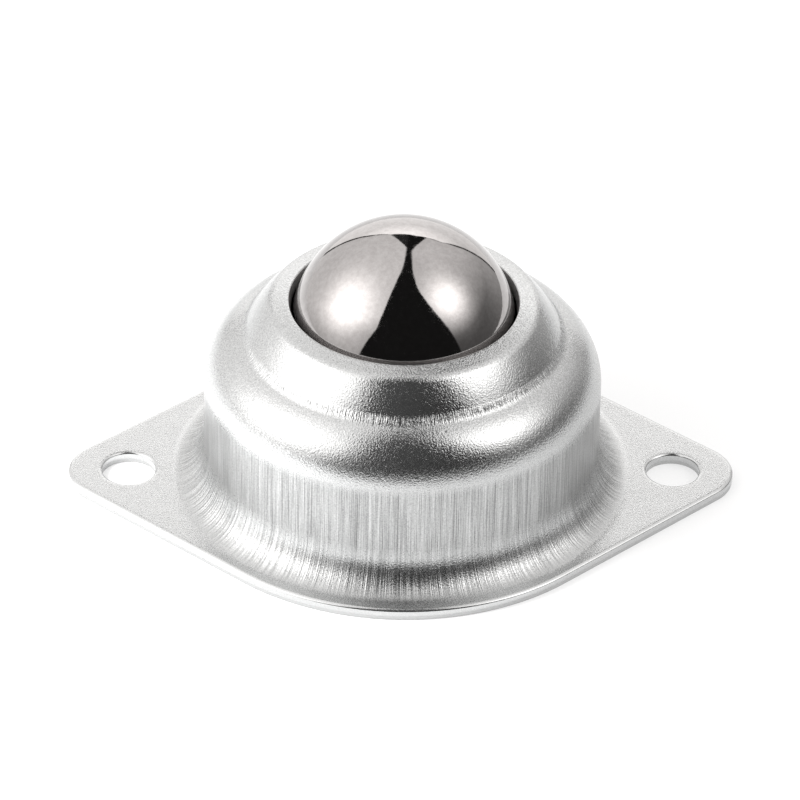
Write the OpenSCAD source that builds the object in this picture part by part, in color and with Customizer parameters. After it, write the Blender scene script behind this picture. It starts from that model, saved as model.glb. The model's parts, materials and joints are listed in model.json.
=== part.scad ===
// Ball transfer unit for conveyor tables: a load ball that turns freely on a
// bed of small support balls, held in a drawn sheet-metal shell whose diamond
// flange is screwed down through two holes.
// The underside of the flange is z = 0 and the ball's axis is x = y = 0.

/* [Balls] */
// Diameter of the load ball
ball_d = 22.225; // [20:0.005:23]
// Diameter of each support ball
support_d = 4.7625; // [4:0.0005:5]
// Running gap between the support balls and each surface they roll on
race_gap = 0.08; // [0.04:0.01:0.15]
// Smallest gap between neighbouring support balls
support_gap = 0.05; // [0.02:0.01:0.3]
// Rings of support balls round the lowest one
bed_rings = 3; // [1:1:3]
// Turn of each ring of support balls against the ring below it
ring_turn = 13; // [0:1:30]

/* [Race cup] */
// Wall of the pressed race cup
cup_wall = 1.5; // [1:0.05:1.9]
// Height of the cup's lowest point above the mounting plane
cup_lift = 0.6; // [0.2:0.05:2]
// Inside bend radius under the cup's brim
brim_bend_r = 0.5; // [0.2:0.05:1.5]
// Gap between the pressed-in brim and the shell's bore
brim_gap = 0.02; // [0.01:0.01:0.08]

/* [Shell] */
// Thickness of the shell's sheet
sheet_t = 1.2; // [0.8:0.05:1.5]
// Outside diameter of the shell's straight wall
body_d = 39; // [37:0.1:44]
// Radius of the hollow between the flange and the wall
foot_r = 3.3; // [2:0.1:3.5]
// Inside radius of the lower dome
dome_bend_r = 4.45; // [3.5:0.05:5]
// Angle that the lower dome turns through before the crease
dome_angle = 66.5; // [55:0.5:72]
// Radius of the crease between the two domes
crease_r = 1.5; // [0.8:0.1:2]
// Outside radius of the upper dome's flank
flank_r = 18.5; // [14:0.5:30]
// Angle by which the flank's face looks up, at the crease
flank_low = 31; // [26:0.5:36]
// Angle by which the flank's face looks up, at the shoulder
flank_high = 41.5; // [38:0.5:46]
// Inside radius of the shoulder round the mouth
shoulder_bend_r = 0.1; // [0.05:0.05:0.5]
// Rise of the land between the shoulder and the mouth
land_slope = 12; // [5:0.5:16]
// Amount by which the mouth is smaller than the ball, on the radius
mouth_hold = 0.11; // [0.05:0.01:0.3]
// Gap between the ball and the mouth's edge
mouth_gap = 0.09; // [0.05:0.01:0.2]

/* [Flange] */
// Overall length of the flange
flange_length = 66; // [64:0.5:80]
// Overall width of the flange
flange_width = 47; // [46:0.5:54]
// Corner radius at each end of the flange
tip_r = 4.75; // [4:0.25:8]
// Distance between the two screw holes
hole_pitch = 54; // [52:0.5:56]
// Diameter of each screw hole
hole_d = 5.3; // [4:0.1:5.5]

/* [Hidden] */
$fn = 96;
tiny = 0.01;        // how far a cutter passes a face
arc_step = 6;       // largest turn between two points of a bend
race_step = 3;      // the same, on the race
count_slack = 0.001; // keeps rounding from dropping a ball that just fits

// The stack from the mounting plane up to the ball
ball_r = ball_d / 2;
support_r = support_d / 2;
race_r = ball_r + 2 * race_gap + support_d;
ball_z = cup_lift + cup_wall + race_r;

// The shell's mouth, whose lower edge holds the ball down
mouth_r = ball_r - mouth_hold;
mouth_z = ball_z + sqrt(pow(ball_r + mouth_gap, 2) - pow(mouth_r, 2));

// The shell's radii, on the outside of the sheet
body_r = body_d / 2;
bore_r = body_r - sheet_t;
dome_r = dome_bend_r + sheet_t;
shoulder_r = shoulder_bend_r + sheet_t;
foot_end_r = body_r + foot_r;

// Centres of the shell's bends, with heights above the top of the straight wall
dome_c = [body_r - dome_r, 0];
crease_c = dome_c + (dome_r + crease_r) * heading(dome_angle);
flank_c = crease_c - (flank_r + crease_r) * heading(flank_low);
shoulder_c = flank_c + (flank_r - shoulder_r) * heading(flank_high);

// Height of the straight wall's top, from the height of the mouth
mouth_rise = land_point(sheet_t)[1];
wall_top = mouth_z - mouth_rise;

// The cup's brim lies level with the top of the shell's straight wall
brim_r = bore_r - brim_gap;
brim_top_bend_r = brim_bend_r + cup_wall;
brim_angle = acos((ball_z + brim_top_bend_r - wall_top) / (race_r + brim_top_bend_r));
brim_c = [0, ball_z] + (race_r + brim_top_bend_r) * [sin(brim_angle), -cos(brim_angle)];

// Rings of support balls, from the bottom of the race up to the cup's brim
bed_r = ball_r + race_gap + support_r;
support_pitch = support_d + support_gap;
ring_step = asin(support_pitch / bed_r);
support_places = [
    for (ring = [0:bed_rings])
        for (i = [0:ring_size(ring) - 1])
            [ring * ring_step, 360 * i / ring_size(ring) + ring * ring_turn]
];
support_names = [for (i = [0:len(support_places) - 1]) support_name(i)];

// The flange's outline
tip_x = flange_length / 2 - tip_r;
flange_r = flange_width / 2;
edge_angle = acos((flange_r - tip_r) / tip_x);
edge_start = flange_r * heading(edge_angle);
edge_end = [tip_x, 0] + tip_r * heading(edge_angle);

// Unit vector at an angle above the r axis of a profile
function heading(angle) = [cos(angle), sin(angle)];

// Points along an arc of a profile, from one heading to another
function arc(centre, radius, from, to, step = arc_step) =
    let (count = max(2, ceil(abs(to - from) / step)))
    [for (i = [0:count]) centre + radius * heading(from + (to - from) * i / count)];

function mirrored(point) = [point[0], -point[1]];

function reverse(points) = [for (i = [len(points) - 1:-1:0]) points[i]];

// Number of support balls that fit in a ring
function ring_size(ring) =
    ring == 0 ? 1 : floor(180 / asin(support_pitch / 2 / (bed_r * sin(ring * ring_step))) + count_slack);

function support_name(i) = str("support_ball_", i < 9 ? "0" : "", i + 1);

// Edge of the mouth at a depth below the sheet's outer face, square to the land
function land_point(depth) =
    let (
        start = shoulder_c + (shoulder_r - depth) * heading(90 - land_slope),
        r = mouth_r + (sheet_t - depth) * sin(land_slope)
    )
    [r, start[1] + (start[0] - r) * tan(land_slope)];

// The shell's section at a depth below the sheet's outer face, from foot to mouth
function shell_line(depth) = concat(
    arc([foot_end_r, sheet_t + foot_r], foot_r + depth, 270, 180),
    [for (p = concat(
        arc(dome_c, dome_r - depth, 0, dome_angle),
        arc(crease_c, crease_r + depth, 180 + dome_angle, 180 + flank_low),
        arc(flank_c, flank_r - depth, flank_low, flank_high),
        arc(shoulder_c, shoulder_r - depth, flank_high, 90 - land_slope),
        [land_point(depth)]
    )) p + [0, wall_top]]
);

// The cup's section at a depth below its race, from the axis to the brim's edge
function cup_line(depth) = concat(
    arc([0, ball_z], race_r + depth, 270, 270 + brim_angle, race_step),
    arc(brim_c, brim_top_bend_r - depth, 90 + brim_angle, 90),
    [[brim_r, wall_top - depth]]
);

// Solid of revolution of a sheet between its two faces
module turned_sheet(outer, inner) {
    rotate_extrude() polygon(concat(outer, reverse(inner)));
}

// Diamond with round ends and a round middle
module flange_outline() {
    circle(r = flange_r);
    for (side = [-1, 1]) translate([side * tip_x, 0]) circle(r = tip_r);
    for (side = [-1, 1]) polygon([
        for (p = [edge_start, edge_end, mirrored(edge_end), mirrored(edge_start)]) [side * p[0], p[1]]
    ]);
}

// One drawn sheet: flange, hollow foot, straight wall, two domes and mouth
module housing_shell() {
    color([0.80, 0.81, 0.81]) difference() {
        union() {
            turned_sheet(shell_line(0), shell_line(sheet_t));
            linear_extrude(sheet_t) difference() {
                flange_outline();
                circle(r = foot_end_r);
            }
        }
        for (side = [-1, 1])
            translate([side * hole_pitch / 2, 0, -tiny]) cylinder(d = hole_d, h = sheet_t + 2 * tiny);
    }
}

// Pressed bowl that the support balls roll in, with an out-turned brim
module race_cup() {
    color([0.55, 0.55, 0.57]) turned_sheet(cup_line(0), cup_line(cup_wall));
}

module load_ball() {
    color([0.74, 0.71, 0.70]) translate([0, 0, ball_z]) sphere(r = ball_r);
}

// One ball of the bed, at its ring's angle from the bottom and its turn about the axis
module support_ball(place) {
    color([0.66, 0.67, 0.69])
        translate([0, 0, ball_z]) rotate([0, 0, place[1]]) rotate([0, -place[0], 0])
            translate([0, 0, -bed_r]) sphere(r = support_r);
}

housing_shell();
race_cup();
load_ball();
for (i = [0:len(support_names) - 1])
    support_ball(support_places[i]);
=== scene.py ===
import json
import math

import bmesh
import bpy
import numpy as np
from mathutils import Matrix, Vector
from mathutils.geometry import delaunay_2d_cdt


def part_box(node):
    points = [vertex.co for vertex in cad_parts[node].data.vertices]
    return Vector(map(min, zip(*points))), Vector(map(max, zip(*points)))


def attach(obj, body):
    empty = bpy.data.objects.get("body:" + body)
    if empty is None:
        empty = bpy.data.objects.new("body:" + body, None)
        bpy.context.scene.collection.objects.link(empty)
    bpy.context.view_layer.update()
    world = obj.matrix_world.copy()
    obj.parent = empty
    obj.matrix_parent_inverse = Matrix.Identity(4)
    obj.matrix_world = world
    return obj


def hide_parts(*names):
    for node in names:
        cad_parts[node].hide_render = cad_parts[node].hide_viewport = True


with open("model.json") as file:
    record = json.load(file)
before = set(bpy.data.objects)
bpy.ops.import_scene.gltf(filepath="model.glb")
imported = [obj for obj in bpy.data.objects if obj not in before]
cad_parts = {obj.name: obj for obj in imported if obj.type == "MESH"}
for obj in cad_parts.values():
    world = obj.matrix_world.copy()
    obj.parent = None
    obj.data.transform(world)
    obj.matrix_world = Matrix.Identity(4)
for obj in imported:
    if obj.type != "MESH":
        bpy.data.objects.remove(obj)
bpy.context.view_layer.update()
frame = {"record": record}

# ------------------------------------------------------------- Housing shell: turned part
# One blank of zinc-plated steel sheet, drawn in a press: hollow foot, ironed wall, lower
# dome, crease, upper dome and the pierced mouth that holds the load ball down. This part
# of it is round, so its section is drawn once and turned about the ball's axis.
mm = 0.001
ball_low, ball_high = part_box("load_ball")
shell_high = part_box("housing_shell")[1]
ball_r = (ball_high.x - ball_low.x) / 2
sheet = 1.2 * mm
body_r = 19.5 * mm
foot_r = 3.3 * mm
foot_end_r = body_r + foot_r
foot_rise = 4.1 * mm
dome_r = 5.65 * mm
dome_turn = 66.5
crease_r = 1.5 * mm
flank_r = 18.5 * mm
flank_low, flank_high = 31, 41.5
shoulder_r = 1.3 * mm
land_facing = 78
lip_r = 0.14 * mm
mouth_r = ball_r - 0.11 * mm
turned_steps = 600
seam_weld, shell_weld = 0.0005 * mm, 0.001 * mm


def heading(angle):
    return np.array([math.cos(math.radians(angle)), math.sin(math.radians(angle))])


def arc(centre, radius, start, end, step):
    """Points on an arc of a section, about a step apart, from one facing to another."""
    turn = math.radians(end - start)
    count = max(2, round(abs(turn) * radius / step))
    angles = math.radians(start) + turn * np.arange(count + 1) / count
    return centre + radius * np.stack([np.cos(angles), np.sin(angles)], 1)


dome_c = np.array([body_r - dome_r, 0])
crease_c = dome_c + (dome_r + crease_r) * heading(dome_turn)
flank_c = crease_c - (flank_r + crease_r) * heading(flank_low)
shoulder_c = flank_c + (flank_r - shoulder_r) * heading(flank_high)
land_out = heading(land_facing)
land_along = heading(land_facing + 90)


def mouth_corner(depth):
    """Corner between the mouth's edge and the sheet's face at a depth below the land."""
    start = shoulder_c + (shoulder_r - depth) * land_out
    reach = (start[0] - mouth_r - (sheet - depth) * land_out[0]) / -land_along[0]
    return start + reach * land_along


wall_top = np.array([0, shell_high.z - mouth_corner(0)[1]])


def foot(depth, step):
    """The hollow foot at a depth below its face: steeper up the wall than out on the flange."""
    turns = arc(np.zeros(2), 1, 270, 180, step / foot_r)
    face = turns * [foot_r, foot_rise]
    out = turns * [foot_rise, foot_r]
    out /= np.linalg.norm(out, axis=1, keepdims=True)
    return np.array([foot_end_r, sheet + foot_rise]) + face + depth * out


def sheet_face(depth, coarse):
    """The sheet's section at a depth below its outer face, from the foot up to the land."""
    fine = 0.24 * mm * coarse
    close = 0.11 * mm * coarse
    wall_foot = np.array([body_r - depth, sheet + foot_rise])
    wall_head = np.array([body_r - depth, 0]) + wall_top
    wall = [wall_foot + (wall_head - wall_foot) * t for t in np.linspace(0, 1, 11)[1:-1]]
    return np.concatenate([
        foot(depth, fine),
        wall,
        arc(dome_c, dome_r - depth, 0, dome_turn, fine) + wall_top,
        arc(crease_c, crease_r + depth, 180 + dome_turn, 180 + flank_low, close)[1:] + wall_top,
        arc(flank_c, flank_r - depth, flank_low, flank_high, 1.6 * fine)[1:] + wall_top,
        arc(shoulder_c, shoulder_r - depth, flank_high, land_facing, close)[1:] + wall_top,
    ])


def toward(start, end, count):
    return [start + (end - start) * (i + 1) / (count + 1) for i in range(count)]


outer_face = sheet_face(0, 1)
inner_face = sheet_face(sheet, 4)[::-1]
upper_corner = mouth_corner(0) + wall_top
lower_corner = mouth_corner(sheet) + wall_top
upper_lip = arc(upper_corner - lip_r * (land_out + land_along), lip_r,
                land_facing, land_facing + 90, lip_r / 3)
lower_lip = arc(lower_corner + lip_r * (land_out - land_along), lip_r,
                land_facing + 90, land_facing + 180, lip_r / 3)
section = np.concatenate([
    outer_face, toward(outer_face[-1], upper_lip[0], 5), upper_lip,
    toward(upper_lip[-1], lower_lip[0], 3), lower_lip, inner_face,
])


def node(tree, kind, inputs=None, output=0, **settings):
    """Adds a node, sets it up, joins its inputs, and gives back one of its outputs."""
    made = tree.nodes.new(kind)
    for key, value in settings.items():
        setattr(made, key, value)
    for key, value in (inputs or {}).items():
        if isinstance(value, bpy.types.NodeSocket):
            tree.links.new(value, made.inputs[key])
        else:
            made.inputs[key].default_value = value
    return made.outputs[output] if len(made.outputs) else made


def maths(tree, operation, *values):
    return node(tree, "ShaderNodeMath", dict(enumerate(values)), operation=operation)


def vectors(tree, operation, *values, output=0):
    return node(tree, "ShaderNodeVectorMath", dict(enumerate(values)), output, operation=operation)


def new_tree(name, inputs):
    """A Geometry Nodes tree with named inputs; gives back the tree and its input sockets."""
    tree = bpy.data.node_groups.new(name, "GeometryNodeTree")
    tree.interface.new_socket(name="Geometry", in_out="INPUT", socket_type="NodeSocketGeometry")
    for label, kind in inputs.items():
        tree.interface.new_socket(name=label, in_out="INPUT", socket_type="NodeSocket" + kind)
    tree.interface.new_socket(name="Geometry", in_out="OUTPUT", socket_type="NodeSocketGeometry")
    return tree, tree.nodes.new("NodeGroupInput").outputs


def finish_tree(tree, geometry, material):
    """Ends a tree in plain geometry that carries its material."""
    plain = node(tree, "GeometryNodeRealizeInstances", {"Geometry": geometry})
    dressed = node(tree, "GeometryNodeSetMaterial", {"Geometry": plain, "Material": material})
    tree.links.new(dressed, tree.nodes.new("NodeGroupOutput").inputs[0])


def grown(name, mesh, tree, sizes):
    """The plain mesh that a tree makes of a mesh, with the tree's inputs set by name."""
    seed = bpy.data.objects.new(name, mesh)
    bpy.context.scene.collection.objects.link(seed)
    modifier = seed.modifiers.new(name, "NODES")
    modifier.node_group = tree
    for item in tree.interface.items_tree:
        if item.item_type == "SOCKET" and item.name in sizes:
            modifier[item.identifier] = sizes[item.name]
    ready = seed.evaluated_get(bpy.context.evaluated_depsgraph_get())
    result = bpy.data.meshes.new_from_object(ready)
    bpy.data.objects.remove(seed)
    result.name = name
    return result


# The tree turns a section in the XZ plane about the Z axis: one grid, a row to each point
# of the section, wrapped round and closed where it meets itself.
turning, given = new_tree("turning", {"Steps": "Int", "Closing Distance": "Float",
                                      "Material": "Material"})
rows = node(turning, "GeometryNodeAttributeDomainSize", {"Geometry": given["Geometry"]})
columns = maths(turning, "ADD", given["Steps"], 1)
grid = node(turning, "GeometryNodeMeshGrid", {"Vertices X": columns, "Vertices Y": rows})
index = node(turning, "GeometryNodeInputIndex")
row = maths(turning, "MODULO", index, rows)
column = maths(turning, "FLOOR", maths(turning, "DIVIDE", index, rows))
angle = maths(turning, "DIVIDE", maths(turning, "MULTIPLY", column, math.tau), given["Steps"])
point = node(turning, "GeometryNodeSampleIndex",
             {"Geometry": given["Geometry"], "Value": node(turning, "GeometryNodeInputPosition"),
              "Index": row}, data_type="FLOAT_VECTOR")
split = node(turning, "ShaderNodeSeparateXYZ", {0: point}).node
place = node(turning, "ShaderNodeCombineXYZ", {
    "X": maths(turning, "MULTIPLY", split.outputs["X"], maths(turning, "COSINE", angle)),
    "Y": maths(turning, "MULTIPLY", split.outputs["X"], maths(turning, "SINE", angle)),
    "Z": split.outputs["Z"],
})
wrapped = node(turning, "GeometryNodeSetPosition", {"Geometry": grid, "Position": place})
closed = node(turning, "GeometryNodeMergeByDistance",
              {"Geometry": wrapped, "Distance": given["Closing Distance"]})
finish_tree(turning, closed, given["Material"])


def turned(name, line, steps, material):
    """A section of (radius, height) points turned into a plain mesh."""
    rail = bpy.data.meshes.new(name + "_section")
    rail.from_pydata([(r, 0, z) for r, z in line], [(i, i + 1) for i in range(len(line) - 1)], [])
    return grown(name, rail, turning,
                 {"Steps": steps, "Closing Distance": seam_weld, "Material": material})


# ------------------------------------------------------------- Housing shell: finish
# Bright zinc on steel. The domes and the flange keep the fine orange-peel grain of the
# sheet, and the wall and the foot carry lines where the die ironed the sheet as it drew.
def empty_material(name):
    material = bpy.data.materials.new(name)
    material.use_nodes = True
    material.node_tree.nodes.clear()
    return material, material.node_tree


zinc, tree = empty_material("zinc_plated_sheet")
here = node(tree, "ShaderNodeTexCoord", output="Object")
around = vectors(tree, "NORMALIZE", vectors(tree, "MULTIPLY", here, (1, 1, 0)))
height = node(tree, "ShaderNodeSeparateXYZ", {0: here}, output="Z")
drawn, torn, pleated, edged = (
    node(tree, "ShaderNodeAttribute", output="Fac", attribute_name=label)
    for label in ("drawn", "torn", "pleated", "edged"))


def along_lines(width, length):
    """Coordinates for marks of a width round the axis and a length up the wall."""
    spread = vectors(tree, "SCALE", around)
    spread.node.inputs["Scale"].default_value = body_r / width
    rise = node(tree, "ShaderNodeCombineXYZ", {"Z": maths(tree, "DIVIDE", height, length)})
    return vectors(tree, "ADD", spread, rise)


def noise(vector, scale, detail, roughness=0.5):
    return node(tree, "ShaderNodeTexNoise", {"Vector": vector, "Scale": scale, "Detail": detail,
                                             "Roughness": roughness})


def ramp(value, low, high, first=0.0, last=1.0):
    """Takes a value from one range to another, and holds it there beyond the ends."""
    return node(tree, "ShaderNodeMapRange", {"Value": value, "From Min": low, "From Max": high,
                                             "To Min": first, "To Max": last})


def blend(factor, first, second):
    """Mixes two colours, each a triple or a socket."""
    first, second = ((*c, 1) if isinstance(c, tuple) else c for c in (first, second))
    return node(tree, "ShaderNodeMix", {0: factor, 6: first, 7: second}, output=2,
                data_type="RGBA")


def total(first, *others):
    for other in others:
        first = maths(tree, "ADD", first, other)
    return first


def times(first, *others):
    for other in others:
        first = maths(tree, "MULTIPLY", first, other)
    return first


# The marks: grain and pits all over, lines below the lower dome, and small ticks at the
# pleats of the crease
wall_foot_z = sheet + foot_rise
flange_rise = 0.5 * mm
sand = noise(here, 1 / (0.17 * mm), 1, 0.6)
specks = noise(here, 1 / (0.12 * mm), 0)
pits = ramp(node(tree, "ShaderNodeTexVoronoi", {"Vector": here, "Scale": 1 / (4.5 * mm)}),
            0.0, 0.055)
fine_lines = noise(along_lines(0.095 * mm, 25 * mm), 1, 2, 0.65)
short_lines = noise(along_lines(0.09 * mm, 5 * mm), 1, 1)
foot_lines = noise(along_lines(0.18 * mm, 30 * mm), 1, 2, 0.6)
deep_lines = times(ramp(noise(along_lines(0.12 * mm, 18 * mm), 1, 1), 0.62, 0.70),
                   ramp(height, wall_foot_z - 0.6 * mm, wall_foot_z + 0.6 * mm))
ticks = noise(along_lines(0.14 * mm, 0.9 * mm), 1, 1)
on_foot = ramp(height, sheet + 1.1 * foot_rise, sheet + 0.45 * foot_rise)
stretched = ramp(height, wall_top[1] + 0.75 * dome_r, wall_top[1] + 0.35 * dome_r)

# Their depths: the grain opens where the lower dome stretched, the die flattened it on
# the wall, and the flange is smoothest
sand_depth, drawn_sand_depth = 0.023 * mm, 0.016 * mm
opened, flange_share = 1.45, 0.29
fine_line_depth, deep_line_depth, foot_line_depth = 0.028 * mm, 0.02 * mm, 0.038 * mm
speck_depth, tick_depth, pit_depth = 0.0035 * mm, 0.09 * mm, 0.02 * mm
relief = total(
    times(sand, ramp(drawn, 0, 1, sand_depth, drawn_sand_depth), ramp(stretched, 0, 1, 1, opened),
          ramp(height, sheet, sheet + flange_rise, flange_share, 1)),
    times(total(times(fine_lines, fine_line_depth), times(deep_lines, -deep_line_depth),
                times(foot_lines, on_foot, foot_line_depth)), drawn),
    times(ramp(specks, 0.60, 0.72), speck_depth),
    times(ticks, pleated, tick_depth), times(pits, pit_depth))
bumps = node(tree, "ShaderNodeBump", {"Height": times(relief, ramp(edged, 0, 1, 1, 0.2)),
                                       "Strength": 1.0, "Distance": 1.0})

# Their shades: dull spots in the grain, and painted shade and highlight along each line
dull_zinc, bright_zinc = (0.39, 0.395, 0.395), (0.59, 0.595, 0.595)
line_dirt_and_shade, line_highlight = (0.17, 0.173, 0.173), (0.66, 0.665, 0.665)
foot_line_shade, foot_line_highlight = (0.32, 0.325, 0.325), (0.64, 0.645, 0.645)
# The dark scratch colour also paints shade into the deep grooves of the wall
scratch_dirt_and_groove_shade, bare_steel = (0.13, 0.13, 0.13), (0.48, 0.48, 0.48)
grain_shade = times(total(ramp(specks, 0.32, 0.68), ramp(sand, 0.32, 0.68)), 0.5)
# The wall's lines: a painted shade and a painted highlight, the dull side partly dirt
line_shade = times(total(ramp(fine_lines, 0.36, 0.64), ramp(short_lines, 0.34, 0.66),
                         grain_shade), 1 / 3)
# The foot's lines: a painted shade and a painted highlight
foot_shade = ramp(foot_lines, 0.36, 0.64)
tint = blend(drawn, blend(grain_shade, dull_zinc, bright_zinc),
             blend(on_foot, blend(line_shade, line_dirt_and_shade, line_highlight),
                   blend(foot_shade, foot_line_shade, foot_line_highlight)))
tint = blend(ramp(height, sheet, sheet + 0.04 * mm, 0.6, 0), tint, bright_zinc)
tint = blend(times(ramp(specks, 0.62, 0.68), drawn, 0.4), tint, scratch_dirt_and_groove_shade)
# Painted shade in the deep grooves of the wall, partly dirt held in them
tint = blend(times(deep_lines, drawn, 0.5), tint, scratch_dirt_and_groove_shade)
tint = blend(times(torn, 0.4), tint, bare_steel)
gloss = total(ramp(drawn, 0, 1, 0.12, 0.19), times(stretched, 0.09), times(on_foot, -0.06),
              ramp(height, sheet + 0.2 * mm, sheet + 0.8 * mm, 0.08, 0), times(edged, -0.09),
              ramp(sand, 0.35, 0.65, 0, 0.07), times(torn, 0.3))
steel = node(tree, "ShaderNodeBsdfPrincipled",
             {"Base Color": tint, "Metallic": 0.96, "Roughness": gloss, "Normal": bumps})
node(tree, "ShaderNodeOutputMaterial", {"Surface": steel})

# ------------------------------------------------------------- Housing shell: flange
# The same sheet, left flat and blanked to a diamond with two punched screw holes. The
# punch rolls the upper edge down, leaves a burnished band below it and tears the rest.
bolt_holes = next(m for m in frame["record"]["mounts"] if m["kind"] == "bolt_pattern")
hole_r = bolt_holes["dims"]["hole_r_mm"] * mm
hole_x = bolt_holes["dims"]["spacing_x_mm"] * mm / 2
flange_r = shell_high.y
tip_r = 4.75 * mm
tip_x = shell_high.x - tip_r
edge_facing = math.degrees(math.acos((flange_r - tip_r) / tip_x))
edge_step = 0.3 * mm


def quarter_edge():
    """One quarter of the flange's outline, from its end round to its middle."""
    tip = arc(np.array([tip_x, 0]), tip_r, 0, edge_facing, edge_step)
    middle = arc(np.zeros(2), flange_r, edge_facing, 90, edge_step)
    side = toward(tip[-1], middle[0], round(math.dist(tip[-1], middle[0]) / edge_step))
    facings = np.concatenate([
        (tip - [tip_x, 0]) / tip_r, [heading(edge_facing)] * len(side), middle / flange_r])
    return np.concatenate([tip, side, middle]), facings


points, facings = quarter_edge()
turn_over = [(1, 1, 1), (-1, 1, -1), (-1, -1, 1), (1, -1, -1)]
outline = np.concatenate([(points * [a, b])[::way][:-1] for a, b, way in turn_over])
outline_facing = np.concatenate([(facings * [a, b])[::way][:-1] for a, b, way in turn_over])
hole_step = 0.055
round_hole = arc(np.zeros(2), 1, 0, 360, hole_step)[:-1]

# Section of a punched edge as (distance in from the edge, height)
roll = [(1 - t, 1 - 0.55 * t ** 2.2 - 0.45 * (1 - math.sqrt(max(0, 1 - t ** 6))))
        for t in (0, 0.15, 0.3, 0.45, 0.6, 0.72, 0.82, 0.9, 0.95, 0.98, 0.995, 1)]
burnish_end, tear_start, tear_in, burr = 0.42 * sheet, 0.04 * mm, 0.05 * mm, 0.07 * mm


def punched_edge(roll_width, roll_depth):
    rolled = [(roll_width * w, sheet - roll_depth * (1 - h)) for w, h in roll]
    return np.array(rolled + [
        (0, (rolled[-1][1] + burnish_end) / 2), (0, burnish_end),
        (tear_in / 2, burnish_end - tear_start), (tear_in, burnish_end / 2), (tear_in, burr),
        (tear_in + burr, 0)])


flange_edge = punched_edge(roll_width=0.42 * mm, roll_depth=0.24 * mm)
hole_edge = punched_edge(roll_width=0.34 * mm, roll_depth=0.18 * mm)

verts, faces, torn_rows = [], [], []


def add_verts(rows_xyz, torn_value):
    start = len(verts)
    verts.extend(rows_xyz)
    torn_rows.extend([torn_value] * len(rows_xyz))
    return start


def edge_strip(base, facing, edge):
    """The punched edge along a loop; gives back its upper and lower loop."""
    loops = [base - facing * inset for inset, _ in edge]
    starts = [add_verts([(x, y, z) for x, y in loop], float(i >= len(roll) + 2))
              for i, (loop, (_, z)) in enumerate(zip(loops, edge))]
    count = len(base)
    for upper, lower in zip(starts, starts[1:]):
        faces.extend((upper + i, lower + i, lower + (i + 1) % count, upper + (i + 1) % count)
                     for i in range(count))
    return loops[0], loops[-1]


def plate(loops, height, fill=()):
    """A flat face inside the first loop and outside the others, with points of its own."""
    points, rings = [], []
    for loop in loops:
        rings.append(list(range(len(points), len(points) + len(loop))))
        points.extend(loop)
    points.extend(fill)
    spots, _, tris, _, _, inside = delaunay_2d_cdt([Vector(p / mm) for p in points],
                                                   [], rings, 0, 1e-6)
    start = add_verts([(x * mm, y * mm, height) for x, y in spots], 0.0)
    faces.extend(tuple(start + i for i in tri)
                 for tri, within in zip(tris, inside) if list(within) == [0])


outline_top, outline_bottom = edge_strip(outline, outline_facing, flange_edge)
holes = [np.array([side * hole_x, 0]) for side in (-1, 1)]
hole_loops = [edge_strip(centre + hole_r * round_hole, -round_hole, hole_edge)
              for centre in holes]
foot_angles = np.arange(turned_steps) / turned_steps * math.tau
foot_loop = foot_end_r * np.stack([np.cos(foot_angles), np.sin(foot_angles)], 1)


def on_flange(spots, edge_room, hole_room, foot_room):
    """Which points lie on the flat of the flange, with room to spare round it."""
    depth = ((outline[None] - spots[:, None]) * outline_facing[None]).sum(-1).min(1)
    clear = (depth > edge_room) & (np.hypot(*spots.T) > foot_end_r + foot_room)
    for centre in holes:
        clear &= np.hypot(*(spots - centre).T) > hole_r + hole_room
    return clear


grid_step = 0.34 * mm
across = np.arange(-flange_r, flange_r, grid_step * math.sqrt(3) / 2)
grid_points = np.array([(x + (i % 2) * grid_step / 2, y) for i, y in enumerate(across)
                        for x in np.arange(-tip_x - tip_r, tip_x + tip_r, grid_step)])
roll_in, hole_in = flange_edge[0][0], hole_edge[0][0]
inside = on_flange(grid_points, roll_in + grid_step / 2, hole_in + grid_step / 2, grid_step / 2)
plate([outline_top, foot_loop, hole_loops[0][0], hole_loops[1][0]], sheet, grid_points[inside])
plate([outline_bottom, foot_loop, hole_loops[0][1], hole_loops[1][1]], 0)

shell_build = bmesh.new()
shell_build.from_mesh(turned("shell_turned", section, turned_steps, zinc))
shell_torn = shell_build.verts.layers.float.new("torn")
made = [shell_build.verts.new(v) for v in verts]
for vert, value in zip(made, torn_rows):
    vert[shell_torn] = value
for face in faces:
    shell_build.faces.new([made[i] for i in face])
bmesh.ops.remove_doubles(shell_build, verts=shell_build.verts, dist=shell_weld)
loose = [v for v in shell_build.verts if not v.link_faces]
bmesh.ops.delete(shell_build, geom=loose, context="VERTS")
bmesh.ops.recalc_face_normals(shell_build, faces=shell_build.faces)
shell_mesh = bpy.data.meshes.new("housing_shell_pressed")
shell_build.to_mesh(shell_mesh)
shell_build.free()

# Where the press left its marks: lines on the wall and the foot, pleats in the crease,
# torn metal round the mouth, and smoothed edges round the flange and its holes
top_blend, foot_clear, foot_blend = 0.25 * mm, 0.5 * mm, 1.1 * mm
pleat_rise, pleat_spread = 0.58 * mm, 0.30 * mm
spots = np.empty(len(shell_mesh.vertices) * 3, np.float32)
shell_mesh.vertices.foreach_get("co", spots)
spots = spots.reshape(-1, 3)
radius = np.hypot(spots[:, 0], spots[:, 1])
below_wall_top = np.clip((wall_top[1] + 0.1 * mm - spots[:, 2]) / top_blend, 0, 1)
foot_fade = np.clip((foot_end_r - foot_clear - radius) / foot_blend, 0, 1)
crease_height = (crease_c + wall_top)[1] - crease_r
pleating = np.exp(-((spots[:, 2] - crease_height - pleat_rise) / pleat_spread) ** 2)
pleating *= radius > mouth_r + 3 * mm
cut = (radius < mouth_r + 0.5 * mm) & (spots[:, 2] < upper_lip[-1][1] + 0.01 * mm)
tearing = np.zeros(len(spots), np.float32)
shell_mesh.attributes["torn"].data.foreach_get("value", tearing)
shell_mesh.attributes["torn"].data.foreach_set("value", np.maximum(tearing, cut))
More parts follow.
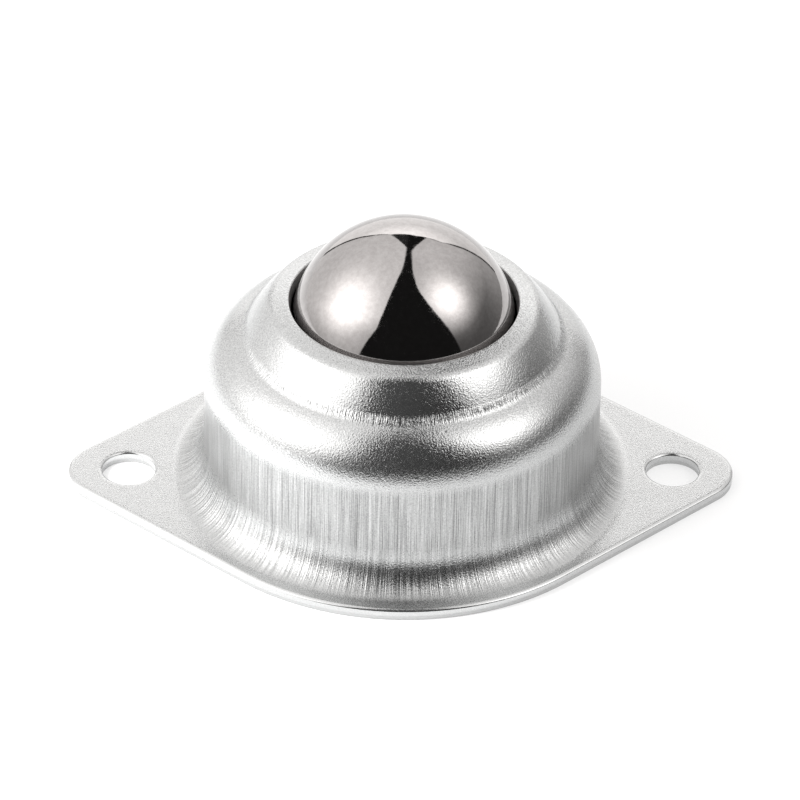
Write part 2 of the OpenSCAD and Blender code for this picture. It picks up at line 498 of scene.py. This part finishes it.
drawing = below_wall_top * foot_fade
flaring = drawing * np.interp(spots[:, 2] - sheet, [0, foot_rise], [1, 0.2])
edging = np.clip((sheet - spots[:, 2]) / (0.04 * mm), 0, 1) * (radius > foot_end_r)
for label, values in {"drawn": drawing, "pleated": pleating, "flared": flaring,
                      "edged": edging}.items():
    layer = shell_mesh.attributes.new(label, "FLOAT", "POINT")
    layer.data.foreach_set("value", values.astype(np.float32))

# The tree pushes the sheet in and out, square to its face, for the marks that are deep
# enough to have a shape: the coarser drawing lines, the pleats and a faint waviness.
marking, given = new_tree("die_marks", {
    "Line Depth": "Float", "Line Width": "Float", "Pleat Depth": "Float",
    "Pleat Width": "Float", "Wave Height": "Float", "Wave Length": "Float", "Seed": "Float",
    "Material": "Material"})
spot = node(marking, "GeometryNodeInputPosition")
flat_spot = vectors(marking, "MULTIPLY", spot, (1, 1, 0))
facing_out = vectors(marking, "NORMALIZE", flat_spot)


def round_noise(width, detail):
    """Noise that changes round the axis and stays the same along the section."""
    steps = vectors(marking, "SCALE", facing_out)
    marking.links.new(maths(marking, "DIVIDE", body_r, width), steps.node.inputs["Scale"])
    value = node(marking, "ShaderNodeTexNoise", {"Vector": steps, "W": given["Seed"], "Scale": 1.0,
                                                 "Detail": detail}, noise_dimensions="4D")
    return maths(marking, "SUBTRACT", value, 0.5)


def weighted(value, depth, label):
    weight = node(marking, "GeometryNodeInputNamedAttribute", {"Name": label})
    return maths(marking, "MULTIPLY", maths(marking, "MULTIPLY", value, depth), weight)


wave = node(marking, "ShaderNodeTexNoise", {
    "Vector": spot, "W": given["Seed"], "Detail": 2.0,
    "Scale": maths(marking, "DIVIDE", 1.0, given["Wave Length"])}, noise_dimensions="4D")
upper_side = maths(marking, "GREATER_THAN", node(marking, "ShaderNodeSeparateXYZ", {0: spot},
                                                 output="Z"), sheet - 0.01 * mm)
lines = weighted(round_noise(given["Line Width"], 1.0), given["Line Depth"], "flared")
pleats = weighted(round_noise(given["Pleat Width"], 1.0), given["Pleat Depth"], "pleated")
waves = maths(marking, "MULTIPLY", maths(marking, "SUBTRACT", wave, 0.5), given["Wave Height"])
push = maths(marking, "ADD", maths(marking, "ADD", lines, pleats), waves)
push = maths(marking, "MULTIPLY", push, upper_side)
shift = vectors(marking, "SCALE", node(marking, "GeometryNodeInputNormal"))
marking.links.new(push, shift.node.inputs["Scale"])
marked = node(marking, "GeometryNodeSetPosition", {"Geometry": given["Geometry"], "Offset": shift})
finish_tree(marking, marked, given["Material"])
shell_mesh = grown("housing_shell_drawn", shell_mesh, marking, {
    "Line Depth": 0.024 * mm, "Line Width": 0.36 * mm, "Pleat Depth": 0.045 * mm,
    "Pleat Width": 0.36 * mm, "Wave Height": 0.012 * mm, "Wave Length": 2.5 * mm, "Seed": 7.0,
    "Material": zinc})


def smooth_piece(name, mesh, body, slot, *replaced):
    """Shades a finished mesh smooth, makes it an object under its body and hides the CAD nodes it
    replaces; the slot is not used.
    """
    mesh.shade_smooth()
    mesh.set_sharp_from_angle(angle=math.radians(50))
    piece = bpy.data.objects.new(name, mesh)
    bpy.context.scene.collection.objects.link(piece)
    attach(piece, body)
    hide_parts(*replaced)


smooth_piece("housing_shell_drawn", shell_mesh, "housing", "zinc_plated_sheet", "housing_shell")

# ------------------------------------------------------------- Load ball
# A ground and polished bearing ball of hard steel, loose in the shell. It is a true ball,
# and only a trace of film and a faint cloudiness dull its mirror.
ball_centre = (ball_low + ball_high) / 2
ball_cuts = 63
ball_build = bmesh.new()
bmesh.ops.create_cube(ball_build, size=2.0)
bmesh.ops.subdivide_edges(ball_build, edges=ball_build.edges, cuts=ball_cuts,
                          use_grid_fill=True)
for vert in ball_build.verts:
    x, y, z = (math.tan(c * math.pi / 4) for c in vert.co)
    vert.co = ball_centre + Vector((x, y, z)).normalized() * ball_r
ball_mesh = bpy.data.meshes.new("load_ball_polished")
ball_build.to_mesh(ball_mesh)
ball_build.free()

polish, tree = empty_material("polished_load_ball")
here = node(tree, "ShaderNodeTexCoord", output="Object")
film = noise(here, 1 / (5 * mm), 3)
clouds = noise(here, 1 / (0.55 * mm), 3, 0.7)
gloss = total(ramp(film, 0.35, 0.7, 0.02, 0.05), ramp(clouds, 0.45, 0.7, 0, 0.06))
cloud_depth = 0.0016 * mm
bumps = node(tree, "ShaderNodeBump",
             {"Height": clouds, "Strength": 1.0, "Distance": cloud_depth})
steel = node(tree, "ShaderNodeBsdfPrincipled",
             {"Base Color": blend(ramp(clouds, 0.35, 0.65), (0.365, 0.348, 0.343),
                                  (0.430, 0.413, 0.408)),
              "Metallic": 1.0, "Roughness": gloss, "Normal": bumps})
node(tree, "ShaderNodeOutputMaterial", {"Surface": steel})
ball_mesh.materials.append(polish)
smooth_piece("load_ball_polished", ball_mesh, "load_ball", "polished_load_ball", "load_ball")

# ------------------------------------------------------------- Support balls
# Thirty-three small hardened bearing balls, loose in a layer under the load ball. They
# fill the bowl ring by ring and roll round in it as the load ball turns.
bed_names = [f"support_ball_{number:02d}" for number in range(1, 34)]
bed_boxes = [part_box(name) for name in bed_names]
bed_middles = bpy.data.meshes.new("bed_middles")
bed_middles.from_pydata([(low + high) / 2 for low, high in bed_boxes], [], [])
support_r = (bed_boxes[0][1].z - bed_boxes[0][0].z) / 2

# The tree sets one ball on every middle.
bedding, given = new_tree("ball_bed", {"Ball Radius": "Float", "Segments": "Int", "Rings": "Int",
                                       "Material": "Material"})
one_ball = node(bedding, "GeometryNodeMeshUVSphere", {
    "Radius": given["Ball Radius"], "Segments": given["Segments"], "Rings": given["Rings"]})
bed = node(bedding, "GeometryNodeInstanceOnPoints",
           {"Points": given["Geometry"], "Instance": one_ball})
finish_tree(bedding, bed, given["Material"])

bearing, tree = empty_material("support_ball_steel")
here = node(tree, "ShaderNodeTexCoord", output="Object")
smears = noise(here, 1 / (1.3 * mm), 3)
gloss = ramp(smears, 0.4, 0.7, 0.07, 0.20)
steel = node(tree, "ShaderNodeBsdfPrincipled",
             {"Base Color": blend(smears, (0.37, 0.36, 0.355), (0.45, 0.44, 0.435)),
              "Metallic": 1.0, "Roughness": gloss})
node(tree, "ShaderNodeOutputMaterial", {"Surface": steel})
bed_mesh = grown("support_ball_bed", bed_middles, bedding, {
    "Ball Radius": support_r, "Segments": 36, "Rings": 18, "Material": bearing})
smooth_piece("support_ball_bed", bed_mesh, "support_balls", "support_ball_steel", *bed_names)

# ------------------------------------------------------------- Race cup
# A thicker steel bowl with an out-turned brim, pressed, hardened and forced up into the
# bore of the shell. Its inside is the race, with fine rings left by the grinding.
cup_low, cup_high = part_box("race_cup")
cup_wall = 1.5 * mm
cup_steps = 192
brim_bend_r = 0.5 * mm + cup_wall
brim_round = 0.12 * mm
race_c = np.array([0, ball_centre.z])
race_r = ball_centre.z - cup_low.z - cup_wall
brim_angle = math.degrees(math.acos(
    (ball_centre.z + brim_bend_r - cup_high.z) / (race_r + brim_bend_r)))
brim_c = race_c + (race_r + brim_bend_r) * heading(270 + brim_angle)


def cup_face(depth):
    """The cup's section at a depth below its race, from the axis to the brim."""
    return np.concatenate([
        arc(race_c, race_r + depth, 270, 270 + brim_angle, 0.5 * mm),
        arc(brim_c, brim_bend_r - depth, 90 + brim_angle, 90, 0.15 * mm)[1:]])


brim_corner = np.array([cup_high.x - brim_round, cup_high.z - brim_round])
cup_section = np.concatenate([
    cup_face(0), arc(brim_corner, brim_round, 90, 0, brim_round / 2),
    arc(brim_corner - [0, cup_wall - 2 * brim_round], brim_round, 0, -90, brim_round / 2),
    cup_face(cup_wall)[::-1]])
cup_section[[0, -1], 0] = 0

hardened, tree = empty_material("hardened_cup")
here = node(tree, "ShaderNodeTexCoord", output="Object")
from_axis = vectors(tree, "LENGTH", vectors(tree, "MULTIPLY", here, (1, 1, 0)), output="Value")
grinding = noise(node(tree, "ShaderNodeCombineXYZ", {"X": from_axis}), 1 / (0.12 * mm), 2)
grinding_depth = 0.004 * mm
stains = noise(here, 1 / (2.5 * mm), 4, 0.65)
bumps = node(tree, "ShaderNodeBump",
             {"Height": grinding, "Strength": 1.0, "Distance": grinding_depth})
steel = node(tree, "ShaderNodeBsdfPrincipled",
             {"Base Color": blend(ramp(stains, 0.35, 0.65), (0.22, 0.215, 0.21),
                                  (0.34, 0.335, 0.33)),
              "Metallic": 1.0, "Roughness": ramp(stains, 0.3, 0.7, 0.28, 0.42),
              "Normal": bumps})
node(tree, "ShaderNodeOutputMaterial", {"Surface": steel})
cup_mesh = turned("race_cup_pressed", cup_section, cup_steps, hardened)
cup_build = bmesh.new()
cup_build.from_mesh(cup_mesh)
bmesh.ops.recalc_face_normals(cup_build, faces=cup_build.faces)
cup_build.to_mesh(cup_mesh)
cup_build.free()
smooth_piece("race_cup_pressed", cup_mesh, "housing", "hardened_cup", "race_cup")

# ------------------------------------------------------------- Floor
# The table that the unit stands on: pale matt paper over a lit panel, so that its tone
# is even and shadows on it stay faint. Along the front its colour and glow are darker,
# a painted shade for the smaller share of light that reaches it there.
table_left, table_right, table_front, table_back = -0.15, 0.13, -0.11, 0.9
under_flange = 0.00002
paper_tone, paper_glow, front_share = 0.34, 0.66, 0.68
floor_mesh = bpy.data.meshes.new("floor")
floor_mesh.from_pydata([(table_left, table_front, 0), (table_right, table_front, 0),
                        (table_right, table_back, 0), (table_left, table_back, 0)],
                       [], [(0, 1, 2, 3)])
floor = bpy.data.objects.new("floor", floor_mesh)
floor.location.z = -under_flange
bpy.context.scene.collection.objects.link(floor)
paper, tree = empty_material("floor_paper")
here = node(tree, "ShaderNodeTexCoord", output="Object")
# Painted shade: the paper's colour and glow fall off toward the front
fall_off = ramp(node(tree, "ShaderNodeSeparateXYZ", {0: here}, output="Y"),
                -84 * mm, -47 * mm, front_share, 1)
matt = node(tree, "ShaderNodeBsdfDiffuse", {"Color": times(fall_off, paper_tone)})
lit = node(tree, "ShaderNodeEmission",
           {"Color": (1, 1, 1, 1), "Strength": times(fall_off, paper_glow)})
node(tree, "ShaderNodeOutputMaterial",
     {"Surface": node(tree, "ShaderNodeAddShader", {0: matt, 1: lit})})
floor_mesh.materials.append(paper)

# ------------------------------------------------------------- Studio light
# Two tall scrims stand left and right of the table and nearly meet overhead. One lamp
# lights the left one from behind and two light the right one, and a bright card stands
# behind the table. The front is left dark.
world = bpy.data.worlds.new("studio")
bpy.context.scene.world = world
world.use_nodes = True
tree = world.node_tree
tree.nodes.clear()
way = node(tree, "ShaderNodeTexCoord", output="Generated")


def direction(azimuth, elevation):
    """Unit vector to a place round the table: azimuth 0 is the front, 90 the right."""
    a, e = math.radians(azimuth), math.radians(elevation)
    return np.array([math.sin(a) * math.cos(e), -math.cos(a) * math.cos(e), math.sin(e)])


def side_of(normal, soft):
    """1 on the side of a plane through the table that its normal points to, else 0."""
    normal = np.asarray(normal, float)
    dot = vectors(tree, "DOT_PRODUCT", way, tuple(normal / np.linalg.norm(normal)), output="Value")
    edge = ramp(dot, -soft, soft)
    edge.node.interpolation_type = "SMOOTHSTEP"
    return edge


def edge_through(first, second, inside, soft):
    """The side of the edge between two directions on which a third one lies."""
    normal = np.cross(direction(*first), direction(*second))
    return side_of(normal * np.sign(normal @ direction(*inside)), soft)


def lamp(azimuth, elevation, spread, strength):
    """The soft bright spot that a lamp makes on the scrim in front of it."""
    dot = vectors(tree, "DOT_PRODUCT", way, tuple(direction(azimuth, elevation)), output="Value")
    fall = maths(tree, "DIVIDE", maths(tree, "SUBTRACT", dot, 1.0), math.radians(spread) ** 2)
    return times(maths(tree, "EXPONENT", fall), strength)


def hung(corners, inside, soft, brightness):
    """A sheet between corners given as directions: as bright as told, and 0 outside it."""
    edges = [edge_through(a, b, inside, soft) for a, b in zip(corners, corners[1:])]
    return times(*edges, brightness)


split_way = node(tree, "ShaderNodeSeparateXYZ", {0: way}).node
side_way, back_way, up_way = (split_way.outputs[axis] for axis in "XYZ")
off_front = total(up_way, times(back_way, 0.6))
cloth_edge, card_edge = 0.015, 0.01

# The left scrim dims toward the front, past the reach of its lamp
left_light = times(total(ramp(up_way, 0.3, 0.95, 0.82, 0.95), lamp(-76, 29, 18, 1.95)),
                   ramp(off_front, -0.12, 0.25, 0.62, 1))
left = hung([(-44, 0.5), (-32.8, 28), (-30.9, 46.9), (-32.6, 64.9),
             (-44.2, 81), (-154.4, 85.4), (178.2, 74.3), (176.5, 58.5)],
            (-90, 40), cloth_edge, left_light)
right_light = total(ramp(up_way, 0.2, 0.85, 0.08, 0.78), lamp(69, 43, 13.5, 1.9),
                    lamp(150, 15, 24, 0.47))
right = hung([(58, -8), (43.5, 39.2), (38.7, 53.5), (37, 66), (42, 74), (57, 79.3),
              (125, 81.8), (168, 62.4), (166.5, 56.6)],
             (90, 40), cloth_edge, right_light)

# The card stands in an opening a little wider than itself, with a dark flap above it
opening = hung([(143, -10), (143.3, 10), (146, 24), (152, 34), (170, 38.5), (-171, 36),
                (-159.4, 26.6), (-153.9, 14.5), (-152, 4.5), (-152, -10)],
               (180, 10), card_edge, 1.0)
card_light = times(ramp(up_way, 0.3, 0.6, 1.1, 1.75), ramp(side_way, 0.1, 0.5, 1, 0.82))
card = hung([(145, -10), (145.3, 10), (147.5, 22), (152, 33), (170, 38), (-171, 35.5),
             (-161, 26), (-156, 14.5), (-154, 4.5), (-154, -10)],
            (180, 10), card_edge, card_light)
flap = hung([(-171, 36), (-176, 48), (177.3, 57), (166.3, 57), (163.7, 47.6), (162.1, 35.2),
             (-171, 36)], (172, 45), card_edge, 0.98)
unlit = maths(tree, "SUBTRACT", 1.0, maths(tree, "MAXIMUM", opening, flap))
room_glow, exposure = 0.012, 1.35
light = times(total(times(maths(tree, "MAXIMUM", left, right), unlit), card, room_glow), exposure)
backdrop = 1.03
seen = node(tree, "ShaderNodeLightPath", output="Is Camera Ray")
strength = node(tree, "ShaderNodeMix", {0: seen, 2: light, 3: backdrop}, data_type="FLOAT")
glow = node(tree, "ShaderNodeBackground", {"Color": (1, 0.985, 0.975, 1), "Strength": strength})
node(tree, "ShaderNodeOutputWorld", {"Surface": glow})

# A small lamp low at the left fills the table, and the polished metal does not mirror it
lamp_data = bpy.data.lights.new("left_lamp", "AREA")
lamp_data.energy = 0.36
lamp_data.size = 0.06
lamp_place, lamp_aim = (-0.09, -0.03, 0.06), (0.05, 0.01, -0.06)
left_lamp = bpy.data.objects.new("left_lamp", lamp_data)
left_lamp.location = lamp_place
left_lamp.rotation_euler = Vector(lamp_aim).to_track_quat("-Z", "Y").to_euler()
left_lamp.visible_glossy = False
left_lamp.visible_camera = False
bpy.context.scene.collection.objects.link(left_lamp)

# ------------------------------------------------------------- Camera
# A long lens, a little over half a metre away, looks down on the front of the unit. It is
# turned and tilted by a degree or so, as a camera set by hand is.
target = Vector((0, 0, 11.18 * mm))
distance, elevation, around_z, tilt = 559.2 * mm, 34.453, 1.576, 1.095
sensor, lens = 36, 256.03
shift_right, shift_up = -0.0031125, -0.0174
e, turn_z, roll_z = (math.radians(v) for v in (elevation, around_z, tilt))
back = Vector((0, -math.cos(e), math.sin(e)))
up = Vector((0, math.sin(e), math.cos(e)))
right_way = Vector((1, 0, 0))
across_way = right_way * math.cos(roll_z) + up * math.sin(roll_z)
upward = up * math.cos(roll_z) - right_way * math.sin(roll_z)
pose = Matrix((across_way, upward, back)).transposed()
pose = Matrix.Rotation(-turn_z, 3, "Z") @ pose
camera_data = bpy.data.cameras.new("camera")
camera_data.lens = lens
camera_data.sensor_width = sensor
camera_data.shift_x = shift_right
camera_data.shift_y = shift_up
camera_data.clip_start = 0.01
camera = bpy.data.objects.new("camera", camera_data)
camera.matrix_world = Matrix.Translation(target + pose.col[2] * distance) @ pose.to_4x4()
bpy.context.scene.collection.objects.link(camera)
bpy.context.scene.camera = camera
bpy.context.scene.view_settings.view_transform = "Standard"
